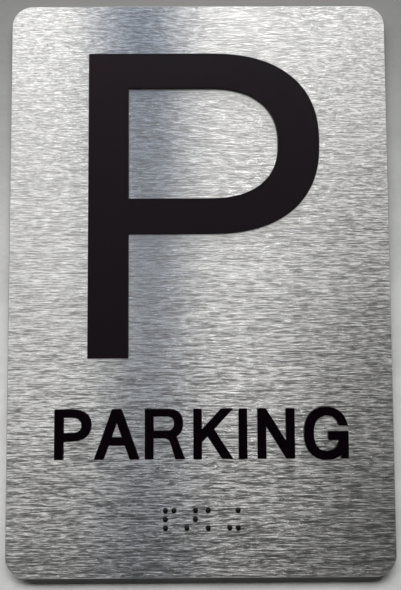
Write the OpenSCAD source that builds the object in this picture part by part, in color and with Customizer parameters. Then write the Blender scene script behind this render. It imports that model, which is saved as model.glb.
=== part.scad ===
/* [Plate] */
// Width of the plate
plate_w = 152.4; // [125:0.1:300]
// Height of the plate
plate_h = 228.6; // [190:0.1:450]
// Thickness of the plate
plate_t = 2; // [1.8:0.1:4]
// Radius of the plate's corners
corner_r = 8.4; // [2:0.1:20]
// Bevel that breaks the plate's front edge
edge_break = 0.3; // [0.1:0.05:0.6]

/* [Lettering layout] */
// Plate's top edge to the top of the large letter
top_margin = 20.4; // [12:0.1:40]
// Foot of the large letter to the top of the word
word_drop = 19.8; // [8:0.1:40]
// Baseline of the word to the top row of beads
braille_drop = 19.9; // [8:0.1:40]
// Bottom row of beads to the plate's bottom edge
foot_margin = 19.1; // [8:0.1:40]
// Thickness of the raised letters
letter_t = 1; // [0.8:0.1:2]

/* [Large letter] */
// Width of the large letter
large_w = 93; // [75:0.1:115]
// Width of its stem
large_stem = 16.1; // [8:0.1:22]
// Height of its two level bars
large_bar = 14.4; // [8:0.1:20]
// Width of its bowl at the far right
large_side = 16.7; // [8:0.1:22]
// Height of its bowl
large_bowl_h = 73.9; // [60:0.1:78]
// Length of its bars before they start to curve
large_run = 48; // [30:0.1:58]
// How far it stands to the right of the plate's middle
large_shift = 2; // [-5:0.1:5]

/* [Word] */
// Height of the capitals
cap_h = 19.5; // [16:0.1:24]
// Width of upright strokes
stroke = 3.4; // [2.4:0.1:4]
// Height of level strokes
bar = 3.2; // [2:0.1:3.6]
// Width of the P
p_w = 14.3; // [12.5:0.1:16]
// Height of the P's bowl
p_bowl_h = 12.4; // [10:0.1:14]
// Width of the A
a_w = 17.8; // [15:0.1:21]
// Width of the A across its flat top
a_top = 3.7; // [2:0.1:5]
// Baseline to the underside of the A's crossbar
a_bar_y = 5.4; // [3:0.1:6.5]
// Width of the R
r_w = 15.8; // [14:0.1:18]
// Height of the R's bowl
r_bowl_h = 11.4; // [9.5:0.1:12.5]
// Radius of the bend from the R's bowl into its leg
r_bend = 2.6; // [1:0.1:3.5]
// Width of the K
k_w = 15.7; // [14:0.1:19]
// Width of the N
n_w = 14.6; // [13:0.1:18]
// Width of the G
g_w = 17.3; // [15:0.1:20]
// How far round letters reach past the line, above and below
overshoot = 0.45; // [0:0.05:0.6]
// How far the word and the beads stand to the right of the plate's middle
row_shift = 0.35; // [-3:0.05:3]

/* [Braille] */
// Centre to centre of neighbouring dots in a cell
dot_pitch = 3.35; // [2.5:0.05:4]
// Centre to centre of neighbouring cells
cell_pitch = 8.35; // [7:0.05:10]
// Diameter of a bead
bead_d = 2.2; // [1.5:0.05:2.3]
// Height of a bead above the plate's face
bead_rise = 0.9; // [0.7:0.05:1]
// Clearance round a bead in its drilled seat
bead_fit = 0.02; // [0.01:0.01:0.05]

/* [Mounting tape] */
// Width of each strip
tape_w = 19; // [10:0.5:30]
// Thickness of the foam
tape_t = 1.1; // [0.5:0.1:2]
// Plate's edge to the nearest edge of a strip
tape_inset = 12; // [5:0.5:25]

/* [Hidden] */
// Roundness of the bowls, where 2 is an ellipse
bowl_power = 2.4;
// Roundness of the G, where 2 is an ellipse
g_power = 2.3;
// Straight steps that one round end is drawn with
large_steps = 64;
small_steps = 32;
// How far a cut reaches past the face that it opens
cut_over = 0.5;
$fn = 64;

// Depths of the two working planes, measured forwards from the wall
back_face = tape_t;
front_face = tape_t + plate_t;

// Heights of the rows, with the plate's middle at 0
braille_rows = 3;
braille_low = -plate_h / 2 + foot_margin;
braille_top = braille_low + (braille_rows - 1) * dot_pitch;
baseline = braille_top + braille_drop;
large_low = baseline + cap_h + word_drop;
large_h = plate_h / 2 - top_margin - large_low;

// The word's letters with their widths, and the gap that follows each one
LETTERS = ["p", "a", "r", "k", "i", "n", "g"];
letter_w = [p_w, a_w, r_w, k_w, stroke, n_w, g_w];
letter_gap = [1.2, 2.1, 3.2, 2.1, 4, 3.7, 0];
function total(v, n) = n == 0 ? 0 : v[n - 1] + total(v, n - 1);
word_w = total(letter_w, len(LETTERS)) + total(letter_gap, len(LETTERS));
function letter_x(i) = row_shift - word_w / 2 + total(letter_w, i) + total(letter_gap, i);

// The raised dots of each braille cell, numbered down the left column and then the right
CELLS = [[1, 2, 3, 4], [3, 4, 5], [1, 3], [3, 4, 6]];
braille_w = (len(CELLS) - 1) * cell_pitch + dot_pitch;
function dot_x(cell, dot) =
    row_shift - braille_w / 2 + cell * cell_pitch + (dot > braille_rows ? dot_pitch : 0);
function dot_z(dot) = braille_top - ((dot - 1) % braille_rows) * dot_pitch;
BEADS = [for (c = [0 : len(CELLS) - 1]) for (d = CELLS[c]) [dot_x(c, d), dot_z(d)]];

// The strips of tape, from the lowest to the highest
STRIPS = ["bottom", "middle", "top"];
strip_step = plate_h / 2 - tape_inset - tape_w / 2;
strip_l = plate_w - 2 * tape_inset;

function bead_name(i) = str("braille_bead_", i < 9 ? "0" : "", i + 1);
function letter_name(i) = str("word_letter_", LETTERS[i]);
function strip_name(i) = str("mounting_tape_", STRIPS[i]);

// Stands a flat drawing upright, with its back at a depth in front of the wall, and thickens it
module upright(depth, thickness) {
    translate([0, -depth, 0]) rotate([90, 0, 0]) linear_extrude(thickness) children();
}

// Right-hand end of a rounded outline, from its bottom round to its top
function round_end(cx, cy, a, b, power, steps) = [
    for (i = [0 : steps])
        let (t = 180 * i / steps - 90)
            [cx + a * pow(cos(t), 2 / power), cy + sign(t) * b * pow(abs(sin(t)), 2 / power)]
];

// Whole rounded outline, as two ends that meet at the top and the bottom
module oval(cx, cy, a, b, power) {
    right = round_end(0, cy, a, b, power, small_steps);
    left = [for (i = [small_steps - 1 : -1 : 1]) [-right[i][0], right[i][1]]];
    translate([cx, 0]) polygon(concat(right, left));
}

// Flat on its left and round on its right, level until the run ends
module half_round(left, right, low, high, run, steps) {
    mid = (low + high) / 2;
    end = round_end(run, mid, right - run, high - mid, bowl_power, steps);
    polygon(concat([[left, low]], end, [[left, high]]));
}

// Stem with a bowl at its top
module bowl_letter(h, w, stem, level, side, bowl_h, run, steps) {
    difference() {
        union() {
            square([stem, h]);
            half_round(0, w, h - bowl_h, h, run, steps);
        }
        half_round(stem, w - side, h - bowl_h + level, h - level, run, steps);
    }
}

// Stroke between two heights, given its left side and width at each
module slant(x0, w0, y0, x1, w1, y1) {
    polygon([[x0, y0], [x0 + w0, y0], [x1 + w1, y1], [x1, y1]]);
}

module flat_p() {
    side = 1.09 * stroke;
    run = 0.45 * p_w;
    bowl_letter(cap_h, p_w, stroke, bar, side, p_bowl_h, run, small_steps);
}

module flat_a() {
    foot = 1.1 * stroke;
    lean = (a_w - a_top) / 2 / cap_h;
    inner_h = (a_w / 2 - foot) / lean;
    difference() {
        slant(0, a_w, 0, (a_w - a_top) / 2, a_top, cap_h);
        difference() {
            polygon([
                [foot - lean * cut_over, -cut_over],
                [a_w - foot + lean * cut_over, -cut_over],
                [a_w / 2, inner_h]
            ]);
            translate([0, a_bar_y]) square([a_w, bar]);
        }
    }
}

module flat_r() {
    bowl_w = 0.95 * r_w;
    level = 0.92 * bar;
    side = 1.05 * stroke;
    run = 0.58 * bowl_w;
    foot = 1.13 * stroke;
    under = cap_h - r_bowl_h;
    hidden_h = under + level / 2;
    lean_l = 0.31;
    lean_r = 0.39;
    bend_a = atan(lean_l);
    bend_y = under - r_bend;
    bend_x = r_w - foot - lean_l * bend_y - r_bend / cos(bend_a);
    bowl_letter(cap_h, bowl_w, stroke, level, side, r_bowl_h, run, small_steps);
    difference() {
        polygon([
            [bend_x, bend_y],
            [bend_x + r_bend * cos(bend_a), bend_y + r_bend * sin(bend_a)],
            [r_w - foot, 0],
            [r_w, 0],
            [r_w - lean_r * hidden_h, hidden_h],
            [bend_x, hidden_h]
        ]);
        translate([bend_x, bend_y]) circle(r_bend);
    }
}

module flat_k() {
    arm = 1.4 * stroke;
    leg = 1.3 * stroke;
    arm_lean = 0.94;
    leg_lean = 0.655;
    arm_x = k_w - arm;
    arm_low = cap_h - (k_w - stroke / 2) / arm_lean;
    crotch_y = arm_lean * cap_h / (arm_lean + leg_lean);
    square([stroke, cap_h]);
    intersection() {
        slant(stroke / 2 - arm, arm, arm_low, arm_x, arm, cap_h);
        square([k_w, cap_h]);
    }
    slant(k_w - leg, leg, 0, k_w - leg - leg_lean * crotch_y, leg, crotch_y);
}

module flat_i() {
    square([stroke, cap_h]);
}

module flat_n() {
    slope_w = 1.26 * stroke;
    square([stroke, cap_h]);
    translate([n_w - stroke, 0]) square([stroke, cap_h]);
    intersection() {
        slant(n_w - stroke, slope_w, 0, stroke - slope_w, slope_w, cap_h);
        square([n_w, cap_h]);
    }
}

module flat_g() {
    mid = cap_h / 2;
    reach = mid + overshoot;
    side = 1.1 * stroke;
    far_side = 0.96 * stroke;
    level = 1.05 * bar;
    spur = 0.84 * stroke;
    bar_x = 0.55 * g_w;
    bar_top = 0.54 * cap_h;
    mouth_top = 0.65 * cap_h;
    inner_w = g_w - side - far_side;
    difference() {
        union() {
            oval(g_w / 2, mid, g_w / 2, reach, g_power);
            translate([g_w - spur, 0]) square([spur, bar_top - level / 2]);
        }
        difference() {
            oval(side + inner_w / 2, mid, inner_w / 2, reach - level, g_power);
            translate([bar_x, bar_top - level]) square([g_w, level]);
        }
        translate([g_w / 2, bar_top]) square([g_w, mouth_top - bar_top]);
    }
}

module flat_letter(i) {
    if (LETTERS[i] == "p") flat_p();
    if (LETTERS[i] == "a") flat_a();
    if (LETTERS[i] == "r") flat_r();
    if (LETTERS[i] == "k") flat_k();
    if (LETTERS[i] == "i") flat_i();
    if (LETTERS[i] == "n") flat_n();
    if (LETTERS[i] == "g") flat_g();
}

module word_letter(i) {
    color("#1c191b")
        upright(front_face, letter_t)
            translate([letter_x(i), baseline]) flat_letter(i);
}

module large_letter_p() {
    color("#262325")
        upright(front_face, letter_t)
            translate([large_shift - large_w / 2, large_low])
                bowl_letter(large_h, large_w, large_stem, large_bar, large_side,
                    large_bowl_h, large_run, large_steps);
}

// Section of the plate across one direction, with its front edges broken, drawn front side up
module plate_section(across) {
    polygon([
        [-across / 2, 0],
        [across / 2, 0],
        [across / 2, plate_t - edge_break],
        [across / 2 - edge_break, plate_t],
        [-across / 2 + edge_break, plate_t],
        [-across / 2, plate_t - edge_break]
    ]);
}

// Blank lying on its back: two crossed slabs and a turned disc in each corner
module plate_blank() {
    straight_w = plate_w - 2 * corner_r;
    straight_h = plate_h - 2 * corner_r;
    rotate([90, 0, 0])
        translate([0, 0, -straight_h / 2]) linear_extrude(straight_h) plate_section(plate_w);
    rotate([90, 0, 90])
        translate([0, 0, -straight_w / 2]) linear_extrude(straight_w) plate_section(plate_h);
    for (x = [-1, 1]) for (y = [-1, 1])
        translate([x * straight_w / 2, y * straight_h / 2]) {
            cylinder(h = plate_t - edge_break, r = corner_r);
            translate([0, 0, plate_t - edge_break])
                cylinder(h = edge_break, r1 = corner_r, r2 = corner_r - edge_break);
        }
}

// Flat-bottomed seats for the beads
module bead_seats() {
    seat_depth = bead_d - bead_rise + bead_fit;
    for (spot = BEADS)
        translate([spot[0], spot[1], plate_t - seat_depth])
            cylinder(h = seat_depth + cut_over, d = bead_d + 2 * bead_fit);
}

module plate() {
    color("silver")
        translate([0, -back_face, 0]) rotate([90, 0, 0])
            difference() {
                plate_blank();
                bead_seats();
            }
}

module braille_bead(i) {
    color("#141214")
        translate([BEADS[i][0], -(front_face + bead_rise - bead_d / 2), BEADS[i][1]])
            sphere(d = bead_d);
}

module mounting_tape(i) {
    color("gainsboro")
        upright(0, tape_t)
            translate([0, (i - 1) * strip_step]) square([strip_l, tape_w], center = true);
}

plate();
large_letter_p();
for (i = [0 : len(LETTERS) - 1])
    word_letter(i);
for (i = [0 : len(BEADS) - 1])
    braille_bead(i);
for (i = [0 : len(STRIPS) - 1])
    mounting_tape(i);
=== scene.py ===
# %% [markdown]
# # A parking sign with raised letters
#
# The real object is a thin plate of brushed metal, upright on a wall. Flat black letters and
# round black beads stand on its face, and foam tape behind it holds it to the wall. The exact
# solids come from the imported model. This lesson gives them their looks: softened rims, a
# brushed finish, satin black and foam, and then the wall, the light and the camera.

# %% Load the exact model
import math

import bpy
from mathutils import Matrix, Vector


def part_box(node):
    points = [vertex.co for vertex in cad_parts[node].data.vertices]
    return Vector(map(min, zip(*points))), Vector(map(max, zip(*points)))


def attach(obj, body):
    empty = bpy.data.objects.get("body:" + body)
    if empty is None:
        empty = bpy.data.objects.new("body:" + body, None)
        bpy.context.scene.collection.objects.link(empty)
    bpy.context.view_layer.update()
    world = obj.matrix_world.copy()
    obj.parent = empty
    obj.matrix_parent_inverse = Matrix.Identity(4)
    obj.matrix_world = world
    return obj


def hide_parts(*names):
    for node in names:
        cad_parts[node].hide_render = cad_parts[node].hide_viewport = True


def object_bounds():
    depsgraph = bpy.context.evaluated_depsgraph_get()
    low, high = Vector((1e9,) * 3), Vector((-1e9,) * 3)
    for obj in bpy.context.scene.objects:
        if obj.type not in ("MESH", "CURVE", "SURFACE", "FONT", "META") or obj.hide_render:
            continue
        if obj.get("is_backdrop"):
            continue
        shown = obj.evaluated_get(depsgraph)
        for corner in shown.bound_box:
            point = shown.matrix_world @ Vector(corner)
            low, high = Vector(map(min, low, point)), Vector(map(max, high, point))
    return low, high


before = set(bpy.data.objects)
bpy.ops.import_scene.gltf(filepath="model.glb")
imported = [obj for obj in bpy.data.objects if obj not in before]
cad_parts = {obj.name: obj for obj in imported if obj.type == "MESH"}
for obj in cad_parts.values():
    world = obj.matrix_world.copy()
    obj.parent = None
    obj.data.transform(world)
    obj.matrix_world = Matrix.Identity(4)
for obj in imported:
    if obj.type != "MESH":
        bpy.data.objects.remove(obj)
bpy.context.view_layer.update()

# %% [markdown]
# ## Measures
#
# Blender works in metres, and a sign is easier to think of in millimetres. One name for a
# millimetre keeps both. The depths are read from the model, so that nothing is typed twice:
# the wall is at zero, and the sign stands in front of it, towards minus Y.

# %% Depths of the sign's layers
MM = 0.001
plate_low, plate_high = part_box("plate")
PLATE_BACK = plate_high.y
PLATE_FACE = plate_low.y
LETTER_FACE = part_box("large_letter_p")[0].y
print("Plate from", round(PLATE_BACK / MM, 2), "to", round(PLATE_FACE / MM, 2), "mm")
print("Letters reach", round(LETTER_FACE / MM, 2), "mm")

# %% [markdown]
# ## The camera
#
# A photograph taken from close by makes the lower edge of an upright plate look wider than the
# upper one when the camera tips down. A lens and a place that give the same four corners put
# the camera 20 cm in front of the plate. A longer lens from further off would fill the
# picture as well, but it would lose that slight spread.

# %% Place the camera
CAMERA_PLACE = Vector((-0.39, -202.04, -14.28)) * MM
CAMERA_TURN = [math.radians(angle) for angle in (92.86, 0.299, -0.175)]
PICTURE_HIGH = 590
FOCAL_PIXELS = 500
SENSOR = 36

camera_data = bpy.data.cameras.new("camera")
camera_data.sensor_width = SENSOR
camera_data.lens = FOCAL_PIXELS / PICTURE_HIGH * SENSOR
camera_data.clip_start = 5 * MM
camera_data.dof.use_dof = False
camera = bpy.data.objects.new("camera", camera_data)
camera.location = CAMERA_PLACE
camera.rotation_euler = CAMERA_TURN
scene = bpy.context.scene
scene.collection.objects.link(camera)
scene.camera = camera
scene.view_settings.view_transform = "Standard"
print("Lens", round(camera_data.lens, 2), "mm at", tuple(round(c, 4) for c in camera.location))

# %% [markdown]
# ## Sums in a material
#
# A finish is a recipe of many small sums. Drawn as nodes they are hard to read, so one small
# class wraps a node's output. Two wrapped values can be added or multiplied as plain numbers
# are, and every other node comes from one method. The method `rise` gives a share that goes
# smoothly from 0 to 1 between two limits, and most of the recipes below are made of it.

# %% A value that can be reckoned with
class Value:
    def __init__(self, tree, socket=None):
        self.tree = tree
        self.socket = socket

    def node(self, kind, settings, inputs, outlet=0):
        made = self.tree.nodes.new(kind)
        for name, setting in settings.items():
            setattr(made, name, setting)
        for name, given in inputs.items():
            if isinstance(given, Value):
                self.tree.links.new(given.socket, made.inputs[name])
            else:
                made.inputs[name].default_value = given
        return Value(self.tree, made.outputs[outlet])

    def sum(self, operation, first, second=0.0):
        return self.node("ShaderNodeMath", {"operation": operation}, {0: first, 1: second})

    def __add__(self, other):
        return self.sum("ADD", self, other)

    def __sub__(self, other):
        return self.sum("SUBTRACT", self, other)

    def __rsub__(self, other):
        return self.sum("SUBTRACT", other, self)

    def __mul__(self, other):
        return self.sum("MULTIPLY", self, other)

    __radd__ = __add__
    __rmul__ = __mul__

    def rise(self, start, end):
        limits = {"Value": self, "From Min": start, "From Max": end}
        return self.node("ShaderNodeMapRange", {"interpolation_type": "SMOOTHSTEP"}, limits)

    def distance(self):
        return self.node("ShaderNodeVectorMath", {"operation": "LENGTH"}, {0: self}, "Value")

    def stretched(self, scale, shift=(0.0, 0.0, 0.0)):
        mapping = {"Vector": self, "Scale": scale, "Location": shift}
        return self.node("ShaderNodeMapping", {}, mapping)

    def noise(self, scale, detail=2.0, roughness=0.5):
        grain = {"Vector": self, "Scale": scale, "Detail": detail, "Roughness": roughness}
        return self.node("ShaderNodeTexNoise", {"noise_dimensions": "3D"}, grain)

    def parts(self):
        split = self.node("ShaderNodeSeparateXYZ", {}, {"Vector": self})
        return [Value(self.tree, outlet) for outlet in split.socket.node.outputs]


# %% Colours between two colours
def blend(share, first, second):
    tree = share.tree
    made = tree.nodes.new("ShaderNodeMix")
    made.data_type = "RGBA"
    tree.links.new(share.socket, made.inputs["Factor"])
    for slot, colour in ((6, first), (7, second)):
        if isinstance(colour, Value):
            tree.links.new(colour.socket, made.inputs[slot])
        else:
            made.inputs[slot].default_value = (*colour, 1.0)
    return Value(tree, made.outputs[2])


def shaded(share, colour, depth):
    dark = tuple(part * (1 - depth) for part in colour)
    light = tuple(part * (1 + depth) for part in colour)
    return blend(share, dark, light)


# %% A new finish with its shader
def new_finish(name):
    material = bpy.data.materials.new(name)
    material.use_nodes = True
    tree = material.node_tree
    shader = tree.nodes["Principled BSDF"]
    place = Value(tree, tree.nodes.new("ShaderNodeTexCoord").outputs["Object"])
    return material, shader, place


def feed(shader, **links):
    for name, value in links.items():
        value.tree.links.new(value.socket, shader.inputs[name.replace("_", " ")])


def bumped(height, distance, strength=1.0):
    settings = {"Height": height, "Distance": distance, "Strength": strength}
    return height.node("ShaderNodeBump", {}, settings)


print("Helpers are ready")

# %% [markdown]
# ## Brushed metal
#
# The plate was rubbed sideways with a belt of grit. Each grain left a short scratch, so the
# face has fine level streaks, a few millimetres long and less than half a millimetre high. A
# scratch spreads a reflection across its own direction, so the shader is anisotropic: lights
# smear up and down, and stay narrow from side to side. The streaks are noise that is
# stretched along X, in three lengths. The belt was lifted near the upper edge, so the
# scratches there are shorter and a little fainter.

# %% Streaks of the belt
brushed, metal, spot = new_finish("brushed_plate")
metal.inputs["Metallic"].default_value = 1.0
metal.inputs["Anisotropic"].default_value = 1.0
metal.inputs["Anisotropic Rotation"].default_value = 0.25
x, y, z = spot.parts()

WANDER = 0.25 * MM
wander = spot.stretched((60.0, 60.0, 90.0)).noise(1.0, 2.0) - 0.5
waved = spot.node("ShaderNodeCombineXYZ", {}, {"X": x, "Y": y, "Z": z + wander * WANDER})
fine = waved.stretched((270.0, 270.0, 2500.0)).noise(1.0, 2.0, 0.6)
long = waved.stretched((110.0, 110.0, 2000.0), (3.0, 0.0, 7.0)).noise(1.0, 2.0, 0.6)
hair = waved.stretched((700.0, 700.0, 4200.0), (9.0, 0.0, 1.0)).noise(1.0, 1.0, 0.5)
height = z.rise(0.0, 90 * MM)
streak = fine * 0.45 + long * (0.42 - height * 0.2) + hair * (0.13 + height * 0.2)
fainter = 1 - z.rise(30 * MM, 80 * MM) * 0.25
scratch = (streak.rise(0.36, 0.64) - 0.5) * fainter + 0.5
print("Three lengths of scratch on", brushed.name)

# %% [markdown]
# The streaks tint the colour a little. The cut edge was only filed, so it's duller than the
# face, and the back is plain rolled sheet. The depth of a point tells which of the three it
# is on. Two small dark specks lie on the face, and noise makes their outlines ragged.

# %% Colours of the face, the edge and the back
METAL = (0.665, 0.66, 0.648)
CUT_EDGE = (0.46, 0.455, 0.45)
MILL = (0.6, 0.6, 0.6)
face_colour = shaded(scratch, METAL, 0.26)
rolled = spot.stretched((14.0, 14.0, 900.0)).noise(1.0, 3.0)
back_colour = shaded(rolled.rise(0.3, 0.7), MILL, 0.05)
on_back = y.rise(PLATE_BACK - 0.2 * MM, PLATE_BACK - 0.05 * MM)
on_edge = y.rise(PLATE_FACE + 0.03 * MM, PLATE_FACE + 0.1 * MM)
colour = blend(on_back, blend(on_edge, face_colour, CUT_EDGE), back_colour)
print("Face, edge and back have their own colours")

# %% Two specks on the face
SPECKS = ((-61.8, 98.2, 0.30), (7.0, 71.9, 0.26))
SPECK_COLOUR = (0.05, 0.05, 0.05)
RAGGED = 0.2
for across, up, radius in SPECKS:
    centred = spot.stretched((1.0, 1.0, 1.0), (-across * MM, -PLATE_FACE, -up * MM))
    ragged = centred.distance() + spot.noise(4000.0) * (RAGGED * MM)
    speck = 1 - ragged.rise(radius * MM, (radius + RAGGED) * MM)
    colour = blend(speck * 0.8, colour, SPECK_COLOUR)
print(len(SPECKS), "specks")

# %% [markdown]
# Each scratch also leans the surface up or down, as the wall of a small trough does. A Bump
# node would lean it sideways as well, and blur what the metal shows from side to side. So the
# lean is added to the upright part of the normal alone.

# %% Lean of the scratches
feed(metal, Base_Color=colour, Roughness=0.20 + fine * 0.04 + on_edge * 0.2)
TILT = 0.26
straight = Value(spot.tree, spot.tree.nodes.new("ShaderNodeTexCoord").outputs["Normal"])
lean = spot.node("ShaderNodeCombineXYZ", {}, {"Z": (scratch - 0.5) * TILT})
leaning = spot.node("ShaderNodeVectorMath", {"operation": "ADD"}, {0: straight, 1: lean})
feed(metal, Normal=spot.node("ShaderNodeVectorMath", {"operation": "NORMALIZE"}, {0: leaning}))
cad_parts["plate"].data.materials.clear()
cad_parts["plate"].data.materials.append(brushed)
print("Brushed finish on the plate")

# %% [markdown]
# ## Softened letters
#
# The letters were cut from a thin black sheet, and the cutter left their rims a little round.
# An edge with no rounding never catches the light, and looks like paper. So each letter is
# copied from its exact solid, its loose triangles are merged into clean faces, and only the
# rim of its front face gets a small bevel. The outline stays as the solid has it.

# %% Copy a solid and merge its faces
def select_none():
    for thing in bpy.context.selected_objects:
        thing.select_set(False)


def work_on(piece):
    select_none()
    piece.select_set(True)
    bpy.context.view_layer.objects.active = piece


def clean_copy(node, name):
    piece = bpy.data.objects.new(name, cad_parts[node].data.copy())
    scene.collection.objects.link(piece)
    piece.data.materials.clear()
    work_on(piece)
    bpy.ops.object.mode_set(mode="EDIT")
    bpy.ops.mesh.select_all(action="SELECT")
    bpy.ops.mesh.remove_doubles(threshold=0.001 * MM)
    bpy.ops.mesh.dissolve_limited(angle_limit=math.radians(0.2))
    bpy.ops.object.mode_set(mode="OBJECT")
    return piece


def in_place(piece, node, finish):
    piece.data.materials.append(finish)
    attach(piece, "root")
    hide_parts(node)


# %% [markdown]
# The rim is found in two steps. An operator selects the sharp edges, and then only those
# whose two ends lie where the caller wants them stay selected. Edges inside a flat face drop
# out in the first step, because a bevel there would push its outline out. After the bevel,
# weighted normals keep the big flat faces flat in the light.

# %% Round the rim of a flat piece
SHARP = math.radians(50)
RIM_STEPS = 3


def round_rim(piece, is_rim, width):
    mesh = piece.data
    corners = [vertex.co for vertex in mesh.vertices]
    work_on(piece)
    bpy.ops.object.mode_set(mode="EDIT")
    bpy.ops.mesh.select_mode(type="EDGE")
    bpy.ops.mesh.select_all(action="DESELECT")
    bpy.ops.mesh.edges_select_sharp(sharpness=SHARP)
    bpy.ops.object.mode_set(mode="OBJECT")
    for edge in mesh.edges:
        edge.select = edge.select and all(is_rim(corners[end]) for end in edge.vertices)
    chosen = sum(edge.select for edge in mesh.edges)
    bpy.ops.object.mode_set(mode="EDIT")
    bpy.ops.mesh.bevel(offset=width, segments=RIM_STEPS, affect="EDGES", clamp_overlap=True)
    bpy.ops.object.mode_set(mode="OBJECT")
    bpy.ops.object.shade_smooth_by_angle(angle=SHARP)
    bpy.ops.object.modifier_add(type="WEIGHTED_NORMAL")
    piece.modifiers[-1].weight = 100
    piece.modifiers[-1].keep_sharp = True
    bpy.ops.object.modifier_apply(modifier=piece.modifiers[-1].name)
    return chosen


# %% [markdown]
# ## Satin black
#
# The letters' sheet is black with a soft sheen and a faint grain, so it isn't quite black in
# the light. A near-black colour, a middling roughness and a grain of noise in the bump give
# that. The grain is far finer than a letter is wide. The small letters are the same sheet, but
# they get far less sheen than the large one, and that lower sheen is painted shade that makes
# them darker. So the finish is a function that takes its sheen.

# %% Black finishes of the letters
SHEET_BLACK = (0.0015, 0.0006, 0.0013)
SHEEN_TINT = (1.0, 0.88, 0.92, 1.0)
SHEET_IOR = 1.5


def black_sheet(name, sheen):
    material, sheet, spot = new_finish(name)
    sheet.inputs["IOR"].default_value = SHEET_IOR
    sheet.inputs["Specular IOR Level"].default_value = sheen
    sheet.inputs["Specular Tint"].default_value = SHEEN_TINT
    grain = spot.noise(3800.0, 2.0, 0.6)
    cloud = spot.noise(160.0, 2.0, 0.5)
    feed(sheet, Base_Color=shaded(grain.rise(0.3, 0.7), SHEET_BLACK, 0.5))
    feed(sheet, Roughness=0.44 + cloud * 0.08, Normal=bumped(grain, 0.04 * MM))
    return material


satin = black_sheet("black_letter", 0.17)
# Less sheen on the small letters: painted shade that darkens them.
painted_shade_black = black_sheet("painted_shade_black_letter", 0.03)
print("Two blacks:", satin.name, "and", painted_shade_black.name)

# %% Letters with softened rims
LARGE_RIM = 0.12 * MM
SMALL_RIM = 0.16 * MM


def at_the_front(corner):
    return corner.y < LETTER_FACE + 0.01 * MM


letters = {"large_letter_p": (LARGE_RIM, satin)}
for letter in "parking":
    letters["word_letter_" + letter] = (SMALL_RIM, painted_shade_black)

for node, (width, finish) in letters.items():
    piece = clean_copy(node, node + "_softened")
    edges = round_rim(piece, at_the_front, width)
    in_place(piece, node, finish)
    print(piece.name, "has", edges, "rim edges and", len(piece.data.polygons), "faces")

# %% [markdown]
# ## Beads
#
# Each dot of the braille line is a small ball, pressed into a drilled seat so that its dome
# stands up under a fingertip. The exact solid reaches Blender as loose triangles of uneven
# size, which meet at two poles. A cube that is subdivided and pushed out to a ball has even
# faces and no poles, so its one small highlight stays clean. It takes its size and place from
# the exact solid. Its finish is smoother than the letters'.

# %% Black finish of the beads
BEAD_BLACK = (0.002, 0.0014, 0.002)
BEAD_SHEEN = 0.16
glossy, acrylic, spot = new_finish("black_bead")
acrylic.inputs["IOR"].default_value = SHEET_IOR
acrylic.inputs["Specular IOR Level"].default_value = BEAD_SHEEN
dust = spot.noise(2600.0, 3.0, 0.6)
feed(acrylic, Base_Color=shaded(dust.rise(0.3, 0.7), BEAD_BLACK, 0.3))
feed(acrylic, Roughness=0.12 + dust * 0.06, Normal=bumped(dust, 0.004 * MM))
print("Bead finish:", glossy.name)

# %% Round balls in their seats
BEADS = 12
BALL_CUTS = 12


def round_ball(name, size, place):
    select_none()
    bpy.ops.mesh.primitive_cube_add(size=size, location=place)
    ball = bpy.context.active_object
    ball.name = name
    bpy.ops.object.transform_apply(location=True, rotation=True, scale=True)
    bpy.ops.object.mode_set(mode="EDIT")
    bpy.ops.mesh.select_all(action="SELECT")
    bpy.ops.mesh.subdivide(number_cuts=BALL_CUTS)
    bpy.ops.transform.tosphere(value=1.0)
    bpy.ops.object.mode_set(mode="OBJECT")
    reach = max((vertex.co - place).length for vertex in ball.data.vertices)
    bpy.ops.object.mode_set(mode="EDIT")
    bpy.ops.transform.resize(value=[size / 2 / reach] * 3, center_override=place)
    bpy.ops.object.mode_set(mode="OBJECT")
    bpy.ops.object.shade_smooth()
    return ball


for number in range(1, BEADS + 1):
    node = f"braille_bead_{number:02d}"
    low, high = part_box(node)
    piece = round_ball(node + "_smooth", high.z - low.z, (low + high) / 2)
    in_place(piece, node, glossy)
print(BEADS, "beads of", len(piece.data.polygons), "faces each")
print("A bead is", round((high.z - low.z) / MM, 3), "mm across")

# %% [markdown]
# ## Foam tape
#
# Foam tape is a soft strip with glue on both faces, cut square and pressed a little round at
# its edges. Its cells are too small to model one by one, so they are pits in the bump, from a
# Voronoi pattern. The strips hide behind the plate and are seen from the side and the back.

# %% Pale foam of the tape
FOAM = (0.62, 0.62, 0.60)
foam, strip, spot = new_finish("foam_tape")
cells = spot.node("ShaderNodeTexVoronoi", {}, {"Vector": spot, "Scale": 2400.0})
blot = spot.noise(220.0, 3.0, 0.6)
feed(strip, Base_Color=shaded(blot.rise(0.25, 0.75), FOAM, 0.08))
feed(strip, Roughness=0.72 + blot * 0.15, Normal=bumped(cells, 0.05 * MM, 0.8))
print("Tape finish:", foam.name)

# %% Strips with pressed edges
PRESSED = 0.18 * MM


def anywhere(corner):
    return True


for strip_name in ("bottom", "middle", "top"):
    node = "mounting_tape_" + strip_name
    piece = clean_copy(node, node + "_pressed")
    edges = round_rim(piece, anywhere, PRESSED)
    in_place(piece, node, foam)
    print(piece.name, "has", edges, "soft edges")

# %% [markdown]
# ## The wall and the floor
#
# The sign hangs on a plain plastered wall. A wall right behind the sign would hide it in a
# view from behind, so the wall shows only from its front, and only to the camera: a mix with
# a transparent shader does that, from Light Path and the side that is seen. Light passes
# through it, so the back of the sign is lit as well. Higher up the wall its colour is painted
# darker, and that is painted shade. The floor is made the same way, with one colour, so it
# has no painted shade.

# %% Plaster that shows from one side
PAINTED_SHADE_FROM = -0.08
PAINTED_SHADE_TO = 0.15
STAGE_SIZE = 6.0


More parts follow.
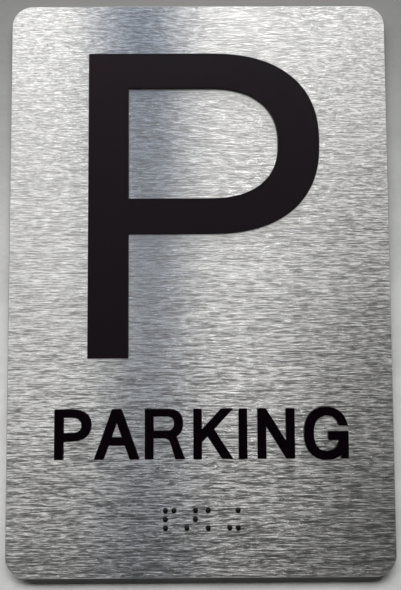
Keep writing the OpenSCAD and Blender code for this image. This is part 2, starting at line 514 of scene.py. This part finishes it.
def plaster(name, colour, painted_shade_colour, depth):
    material, shader, place = new_finish(name)
    tree = material.node_tree
    mottle = place.noise(70.0, 4.0, 0.6)
    # Painted shade: the colour darkens higher up, from the mottled plaster to the shade
    # colour.
    painted_shade = place.parts()[2].rise(PAINTED_SHADE_FROM, PAINTED_SHADE_TO)
    mottle_and_painted_shade = blend(painted_shade, shaded(mottle.rise(0.3, 0.7), colour, depth), painted_shade_colour)
    feed(shader, Base_Color=mottle_and_painted_shade)
    feed(shader, Normal=bumped(place.noise(420.0, 4.0, 0.6), 0.15 * MM))
    shader.inputs["Roughness"].default_value = 0.9
    shader.inputs["Specular IOR Level"].default_value = 0.1
    to_camera = Value(tree, tree.nodes.new("ShaderNodeLightPath").outputs["Is Camera Ray"])
    behind = Value(tree, tree.nodes.new("ShaderNodeNewGeometry").outputs["Backfacing"])
    seen = to_camera * (1 - behind)
    clear = Value(tree, tree.nodes.new("ShaderNodeBsdfTransparent").outputs[0])
    solid = Value(tree, shader.outputs[0])
    shown = seen.node("ShaderNodeMixShader", {}, {0: seen, 1: clear, 2: solid})
    tree.links.new(shown.socket, tree.nodes["Material Output"].inputs["Surface"])
    return material


def stage_sheet(name, place, turn, finish):
    select_none()
    bpy.ops.mesh.primitive_plane_add(size=STAGE_SIZE, location=place, rotation=turn)
    sheet = bpy.context.active_object
    sheet.name = name
    bpy.ops.object.transform_apply(location=True, rotation=True, scale=True)
    sheet.data.materials.append(finish)
    sheet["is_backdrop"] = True


# %% Wall and floor in place
WALL_COLOUR = (0.60, 0.60, 0.59)
# The colour of the painted shade on the upper wall.
WALL_PAINTED_SHADE = (0.155, 0.155, 0.15)
FLOOR_COLOUR = (0.24, 0.24, 0.236)
WALL_PLACE = (0.0, 0.02 * MM, 0.0)
FLOOR_PLACE = (0.0, 0.0, -0.2)
UPRIGHT = (math.radians(90), 0.0, 0.0)
FLAT = (0.0, 0.0, 0.0)
wall_finish = plaster("wall_plaster", WALL_COLOUR, WALL_PAINTED_SHADE, 0.08)
floor_finish = plaster("floor_plaster", FLOOR_COLOUR, FLOOR_COLOUR, 0.05)
stage_sheet("wall", WALL_PLACE, UPRIGHT, wall_finish)
stage_sheet("floor", FLOOR_PLACE, FLAT, floor_finish)
print("Wall and floor are in place")

# %% [markdown]
# ## The light
#
# A wide window high up in front of the wall lights it at a slant, so the plate throws a dark
# line and a soft shadow below itself. A rectangular area light does that. It is hidden from
# reflections, because the metal gets a room of its own to show.

# %% A window high up in front of the wall
WINDOW_PLACE = (-0.28, -0.54, 0.73)
WINDOW_TURN = (math.radians(34.7), 0.0, 0.0)
WINDOW_WIDE = 1.8
WINDOW_HIGH = 0.3
WINDOW_POWER = 24.0
window_data = bpy.data.lights.new("window", "AREA")
window_data.shape = "RECTANGLE"
window_data.size = WINDOW_WIDE
window_data.size_y = WINDOW_HIGH
window_data.energy = WINDOW_POWER
window = bpy.data.objects.new("window", window_data)
window.location = WINDOW_PLACE
window.rotation_euler = WINDOW_TURN
window.visible_glossy = False
scene.collection.objects.link(window)
print("Window of", window_data.size, "by", window_data.size_y, "m")

# %% [markdown]
# ## A room for the metal to show
#
# Brushed metal is a blurred mirror, and what it shows stands in front of it. So the world
# holds a whole room, as sums of the direction that a ray looks in. X goes to the right, minus
# Y is in front of the wall and Z is up, each from -1 to 1. The room is dark below and brighter
# above and to the left.

# %% Directions in the room
world = bpy.data.worlds.new("room")
scene.world = world
world.use_nodes = True
tree = world.node_tree
tree.nodes.clear()
looking = Value(tree, tree.nodes.new("ShaderNodeTexCoord").outputs["Generated"])
x, y, z = looking.parts()
rays = tree.nodes.new("ShaderNodeLightPath").outputs
camera_ray = Value(tree, rays["Is Camera Ray"])
glossy_ray = Value(tree, rays["Is Glossy Ray"])
in_front = (-1 * y).rise(0.0, 0.25)
to_the_right = x.rise(0.03, 0.37)
print("A ray gives its direction")

# %% Walls, ceiling and floor of the room
left_wall = z.rise(-0.36, -0.08) * 0.95 - z.rise(0.0, 0.3) * 0.25
right_wall = z.rise(-0.35, 0.55) * 0.8 + x.rise(0.48, 0.75) * 0.35
ceiling_falls = x.rise(-0.35, 0.1) * 0.75 - x.rise(0.1, 0.3) * 0.21
ceiling = z.rise(0.35, 0.72) * (1.2 - ceiling_falls)
floor_glow = (-1 * z).rise(0.7, 0.95) * 0.3
walls = left_wall * (1 - to_the_right) + right_wall * to_the_right
room = walls + ceiling + floor_glow
print("The room has walls, a ceiling and a floor")

# %% [markdown]
# One upright bluish doorway crosses the room, a little to the left of the middle. It is an
# upright band of directions in which the room is dimmer, most of all near the ceiling. The
# lower right of the room is dimmer too. A lamp overhead brightens the plate's upper part and
# gives each round bead a faint highlight.

# %% Doorway and dim corner
band = x.rise(-0.25, -0.11) * (1 - x.rise(-0.09, 0.04))
doorway = band * in_front
through_doorway = 1 - doorway * (0.15 + z.rise(-0.35, 0.22) * 0.59)
low_right = x.rise(-0.02, 0.12) * (1 - x.rise(0.2, 0.45) * 0.6) * (1 - z.rise(-0.35, 0.0))
lowest = 1 - z.rise(-0.47, -0.34)
far_right = x.rise(0.22, 0.38)
dim_corner = 1 - far_right * 0.03 - low_right * (0.28 + lowest * 0.15)
metal_sees = room * through_doorway * dim_corner
print("A doorway crosses the room")

# %% Lamp, fill and what lies behind the wall
LAMP = 30.0
FILL = 0.025
BEHIND = 0.5
lamp = z.rise(0.93, 0.97) * (1 - band * 0.85) * in_front * LAMP
front_glow = (metal_sees * glossy_ray + FILL) * in_front
back_glow = (1 - in_front) * (1 - band * 0.6) * BEHIND
glow = front_glow + back_glow + lamp * glossy_ray
print("A lamp of", LAMP, "and a fill of", FILL)

# %% [markdown]
# The camera doesn't see the room. Where a ray comes straight from the camera, the world is a
# plain pale backdrop, which Is Camera Ray from Light Path picks out.

# %% Colour of the room, and the backdrop
PLAIN = (1.0, 1.0, 1.0)
BLUISH = (0.86, 1.0, 1.25)
BACKDROP = (0.72, 0.72, 0.72)
cool = doorway * doorway * (0.32 + z.rise(-0.05, 0.35) * 0.6)
seen = blend(camera_ray, blend(cool, PLAIN, BLUISH), BACKDROP)
strength = glow * (1 - camera_ray) + camera_ray
back = seen.node("ShaderNodeBackground", {}, {"Color": seen, "Strength": strength})
surface = tree.nodes.new("ShaderNodeOutputWorld").inputs["Surface"]
tree.links.new(back.socket, surface)
print("The room is lit")

# %% [markdown]
# ## Last step
#
# The visible model must keep the size of the exact one, so the box of all that is shown
# is measured and printed.

# %% Measure the visible size
low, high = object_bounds()
print("Visible size", [round(1000 * side, 2) for side in high - low], "mm")
